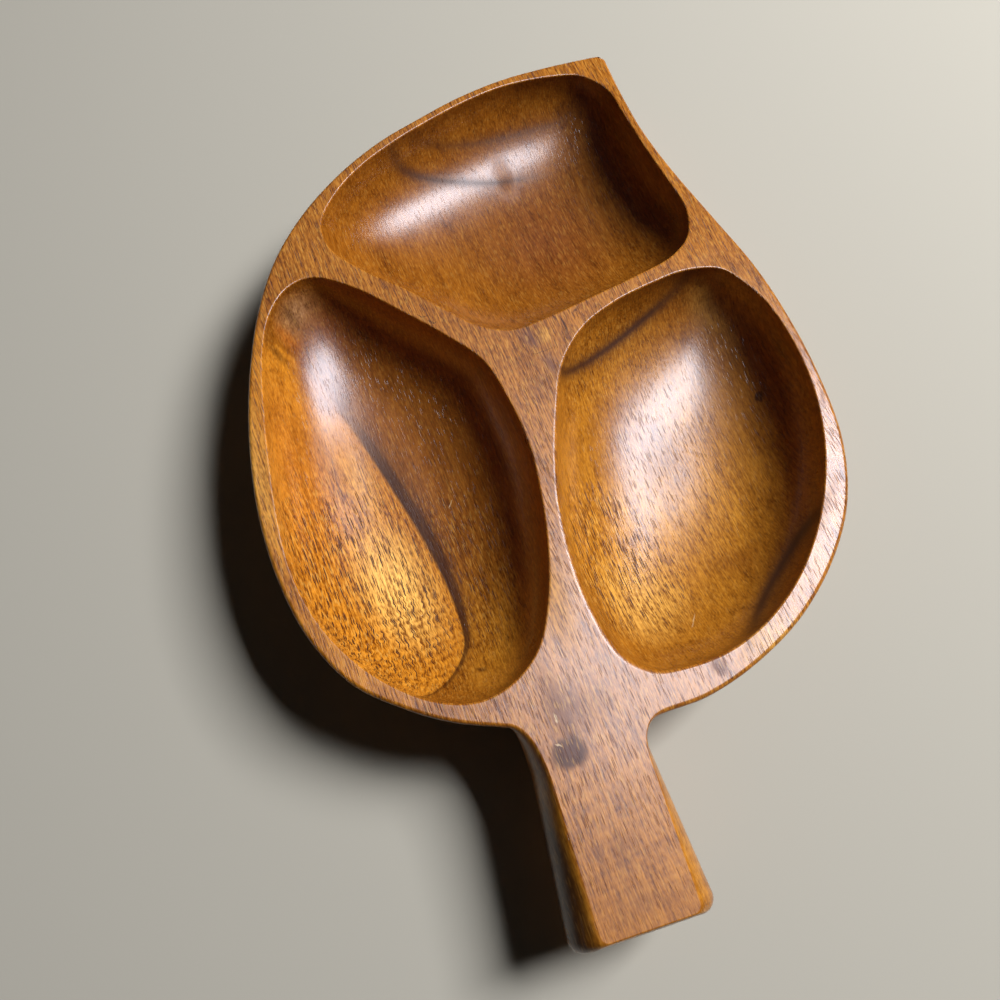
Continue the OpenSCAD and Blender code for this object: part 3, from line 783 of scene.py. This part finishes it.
    # The surface: pores are faint dents under the lacquer and fibres show as fine ridges. The
    # lacquer is rubbed dull on the flat top, less so on the right rim, and keeps its sheen in
    # the wells
    ridges = node(MATH, [fibres, texture], operation="MULTIPLY")
    rough = node(MATH, [specks, 0.3, ridges], operation="MULTIPLY_ADD")
    dents = node(MATH, [pores, -1.0, rough], operation="MULTIPLY_ADD")
    relief = node("ShaderNodeBump", {"Height": dents, "Strength": 1.0, "Distance": 0.12 * MM})
    sheen = node(RANGE, {"Value": mottle, "From Min": 0.3, "From Max": 0.7, "To Min": 0.27,
        "To Max": 0.31})
    rubbed = node(RANGE, {"Value": sides.outputs["X"], "From Max": 85.0, "To Min": 0.4,
        "To Max": 0.27})
    # The rounded lips keep their sheen too, from where they leave the flat top
    level = node(RANGE, {"Value": sides.outputs["Z"], "From Min": HIGH[2] - 0.05,
        "From Max": HIGH[2] - 0.005})
    worn = node(MIX, {0: level, 2: sheen, 3: rubbed}, data_type="FLOAT")
    # Stains, growth lines and pores take the lacquer less well
    for spot, amount in ((dull, 0.25), (pores, 0.35)):
        worn = node(MATH, [spot, amount, worn], operation="MULTIPLY_ADD")
    shader = node("ShaderNodeBsdfPrincipled", {"Base Color": colour, "Roughness": worn,
        "Normal": relief, "IOR": 1.5, "Coat Weight": 0.2, "Coat Roughness": 0.2})
    node("ShaderNodeOutputMaterial", {"Surface": shader})
    return wood


def matt_paint(colour):
    """Pale matt paint, an even ground without sheen that only takes the shadow."""
    paint = bpy.data.materials.new("pale_matt_table")
    tree = empty_tree(paint)
    shader = add(tree, "ShaderNodeBsdfPrincipled", {"Base Color": (*colour, 1.0), "Roughness": 1.0,
        "Specular IOR Level": 0.0})
    add(tree, "ShaderNodeOutputMaterial", {"Surface": shader})
    return paint


def plain_floor(paint):
    """A square floor under the bowl."""
    half = FLOOR_HALF * MM
    plane = bpy.data.meshes.new("floor")
    corners = [(-half, -half, 0), (half, -half, 0), (half, half, 0), (-half, half, 0)]
    plane.from_pydata(corners, [], [(0, 1, 2, 3)])
    plane.materials.append(paint)
    return bpy.data.objects.new("floor", plane)


def soft_lamp(name, power, colour):
    """A strip of light. The high lamp shows in the lacquer and the low one lights the wood."""
    directions, distance, width = LAMPS[name]
    shines = name == "high_lamp"
    ends = [np.array([math.cos(turn) * math.cos(rise), math.sin(turn) * math.cos(rise),
                      math.sin(rise)]) * distance for turn, rise in np.radians(directions)]
    middle = (ends[0] + ends[1]) / 2
    light = bpy.data.lights.new(name, "AREA")
    light.shape = "RECTANGLE"
    light.size = float(np.linalg.norm(ends[1] - ends[0])) * MM
    light.size_y = width * MM
    light.energy = power
    light.color = colour
    lamp = bpy.data.objects.new(name, light)
    lamp.visible_glossy, lamp.visible_diffuse = shines, not shines
    z = Vector(middle).normalized()
    x = Vector(ends[1] - ends[0]).normalized()
    x = (x - z * x.dot(z)).normalized()
    lamp.matrix_world = Matrix.Translation(Vector(middle * MM)) @ Matrix(
        (x, z.cross(x), z)).transposed().to_4x4()
    return lamp


def pale_world(look):
    """The camera sees a pale wall beyond the floor, and the light all round stays faint."""
    world = bpy.data.worlds.new("fill")
    tree = empty_tree(world)
    rays = add(tree, "ShaderNodeLightPath")
    strength = add(tree, MATH, [rays.outputs["Is Camera Ray"], look.fill], operation="MAXIMUM")
    sky = add(tree, "ShaderNodeBackground", {"Color": (*look.floor_colour, 1.0),
        "Strength": strength})
    add(tree, "ShaderNodeOutputWorld", {"Surface": sky})
    return world


def camera_above_stem():
    """The camera, which looks down on the bowl from above its stem."""
    turn, tilt = math.radians(CAMERA_TURN), math.radians(CAMERA_TILT)
    right = Vector((math.cos(turn), -math.sin(turn), 0))
    ahead = Vector((math.sin(turn), math.cos(turn), 0))
    up = ahead * math.cos(tilt) + Vector((0, 0, math.sin(tilt)))
    lens = bpy.data.cameras.new("camera")
    lens.lens, lens.sensor_width = LENS_MM, SENSOR_MM
    lens.clip_start = 10 * MM
    camera = bpy.data.objects.new("camera", lens)
    camera.matrix_world = Matrix.Translation(Vector(CAMERA_PLACE) * MM) @ Matrix(
        (right, up, right.cross(up))).transposed().to_4x4()
    return camera


def length(name, default, description, least):
    """A property for a length in mm."""
    return FloatProperty(name=name, description=description + " in mm", default=default,
                         min=least)


def colour_of(name, code, description):
    """A colour property, from its sRGB hex value."""
    return FloatVectorProperty(name=name, description=description, subtype="COLOR",
                               default=linear(code)[:3])


class LeafBowlSizes(bpy.types.PropertyGroup):
    leaf_width: length("Leaf width", HIGH[0] - LOW[0], "Width of the leaf", 100)
    leaf_length: length("Leaf length", 298, "From the neck to the tip", 100)
    height: length("Height", HIGH[2] - LOW[2], "Height of the rim above the table", 20)
    rim_round: length("Rim rounding", 1.5, "Of the rim's outer edge", 0.5)
    undercut: length("Undercut", 30, "How far the flat foot lies inside the edge", 5)
    well_inset: length("Rim width", 4.5, "Least wood between a well and the leaf's edge", 2)
    well_edge: length("Well edge", 0.8, "Softening of the edge of each well", 0.2)
    lip_wear: length("Lip wear", 3, "Added to the right well's edge beside the web", 0)
    floor_thickness: length("Floor thickness", 11, "Wood left under the deepest place", 3)
    stem_length: length("Stem length", 67, "Length of the stem beyond the leaf", 20)
    stem_offset: length("Stem offset", 22, "How far the stem lies left of the middle", 0)
    stem_top_width: length("Stem top width", 36.5, "Width of the stem's flat top face", 10)
    stem_top_offset: length("Stem top offset", 2,
        "How far the top face's middle lies to the right of the stem's middle", 0)
    neck_width: length("Neck width", 45, "Greatest width of the stem at the neck", 10)
    stem_width: length("Stem width", 55, "Greatest width of the stem near its end", 10)
    stem_thickness: length("Stem thickness", 27, "Thickness of the stem", 5)
    stem_shoulder: length("Stem shoulder", 13, "Depth of the stem's widest line", 3)
    end_bevel: length("End bevel", 3, "How far the stem's end stands out past its top", 1)
    end_radius: length("End radius", 5, "Corner radius at the stem's end", 1)
    top_corner_radius: length("Top corner radius", 3, "Corner radius of the stem's top face", 0.5)
    neck_round: length("Neck rounding", 7, "Reach of the hollow beside the stem", 1)
    neck_blend: length("Neck blend", 13, "Reach of the hollow beside the stem's top", 1)


class WoodFinish(bpy.types.PropertyGroup):
    # Also painted as shade on the stem's left face
    brown: colour_of("Brown wood", "#8C5010", "Body of the tip well and inside the growth line")
    amber: colour_of("Amber wood", "#BC7A20", "Body of the right well and of the stem")
    tan: colour_of("Tan wood", "#AC6820", "The flat top, where the lacquer is worn")
    golden: colour_of("Golden wood", "#B8701A", "Outside the growth line on the left")
    # Also painted as light on the right well's shaded upper wall, as sheen on the lower right rim
    # and as glints in the flecks
    pale_gold_and_painted_light: colour_of("Light golden wood", "#EDB052", "Patches where the grain shines")
    russet: colour_of("Russet wood", "#7A4018", "Redder patches of the brown wood")
    # Also painted as sheen on the left well's upper wall
    nick_and_sheen: colour_of("Nicks", "#E4C49A", "Small scratches that stand out light")
    orange: colour_of("Orange wood", "#B2641F", "Redder patches of the golden wood")
    # Also painted as shade on the stem's left face
    growth_line_and_shade: colour_of("Growth line", "#40200C", "The dark lines between growth layers")
    stain: colour_of("Stain", "#6C4030", "Greyish stains and the knot on the flat top")
    knot: colour_of("Knot", "#50302A", "The small knot where the stem begins")
    pore: colour_of("Pores", "#4A2208", "The open pores, filled with lacquer and shade")


class StageLook(bpy.types.PropertyGroup):
    floor_colour: colour_of("Floor", "#BEBAB0", "Colour of the plain floor")
    lamp_power: FloatProperty(name="Lamp power", default=50, min=0, unit="POWER",
                              description="Of the low soft lamp that lights the bowl")
    sheen_power: FloatProperty(name="Sheen power", default=84, min=0, unit="POWER",
                               description="Of the high lamp that the lacquer mirrors")
    sheen_colour: colour_of("Sheen colour", "#EEF3FF",
        "Of the high lamp, slightly cool as daylight is")
    fill: FloatProperty(name="Fill light", description="Strength of the light all round",
                        default=0.02, min=0)


class CarveBowl(bpy.types.Operator):
    """Carve the leaf bowl with its three wells and finish its wood"""
    bl_idname = "leaf_bowl.carve_bowl"
    bl_label = "Carve bowl"

    def execute(self, context):
        scene = context.scene
        mesh = carved_mesh(scene.leaf_bowl_sizes, carved_wood(scene.leaf_bowl_finish))
        bowl = bpy.data.objects.new("carved_bowl_wood", mesh)
        scene.collection.objects.link(bowl)
        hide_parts("carved_bowl")
        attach(bowl, "root")
        return {"FINISHED"}


class SetStage(bpy.types.Operator):
    """Add the pale floor, the soft lamps and the camera"""
    bl_idname = "leaf_bowl.set_stage"
    bl_label = "Set stage"

    def execute(self, context):
        scene = context.scene
        look = scene.leaf_bowl_stage
        scene.view_settings.view_transform = "Standard"
        floor = plain_floor(matt_paint(look.floor_colour))
        scene.collection.objects.link(floor)
        for name, power, colour in (("low_lamp", look.lamp_power, (1.0, 1.0, 1.0)),
                                    ("high_lamp", look.sheen_power, look.sheen_colour)):
            lamp = soft_lamp(name, power, colour)
            scene.collection.objects.link(lamp)
        scene.world = pale_world(look)
        camera = camera_above_stem()
        scene.collection.objects.link(camera)
        scene.camera = camera
        return {"FINISHED"}


class LeafBowlPanel(bpy.types.Panel):
    bl_idname = "LEAFBOWL_PT_panel"
    bl_label = "Leaf bowl"
    bl_space_type = "VIEW_3D"
    bl_region_type = "UI"
    bl_category = "Leaf bowl"

    def draw(self, context):
        for group in (context.scene.leaf_bowl_sizes, context.scene.leaf_bowl_finish,
                      context.scene.leaf_bowl_stage):
            box = self.layout.box()
            for name in group.__annotations__:
                box.prop(group, name)
        for operator in (CarveBowl, SetStage):
            self.layout.operator(operator.bl_idname)


GROUPS = {"leaf_bowl_sizes": LeafBowlSizes, "leaf_bowl_finish": WoodFinish,
          "leaf_bowl_stage": StageLook}
CLASSES = (*GROUPS.values(), CarveBowl, SetStage, LeafBowlPanel)


def register():
    for cls in CLASSES:
        bpy.utils.register_class(cls)
    for name, group in GROUPS.items():
        setattr(bpy.types.Scene, name, PointerProperty(type=group))


def unregister():
    for name in GROUPS:
        delattr(bpy.types.Scene, name)
    for cls in reversed(CLASSES):
        bpy.utils.unregister_class(cls)


def main():
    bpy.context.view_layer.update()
    register()
    bpy.ops.leaf_bowl.carve_bowl()
    bpy.ops.leaf_bowl.set_stage()


if __name__ == "__main__":
    main()
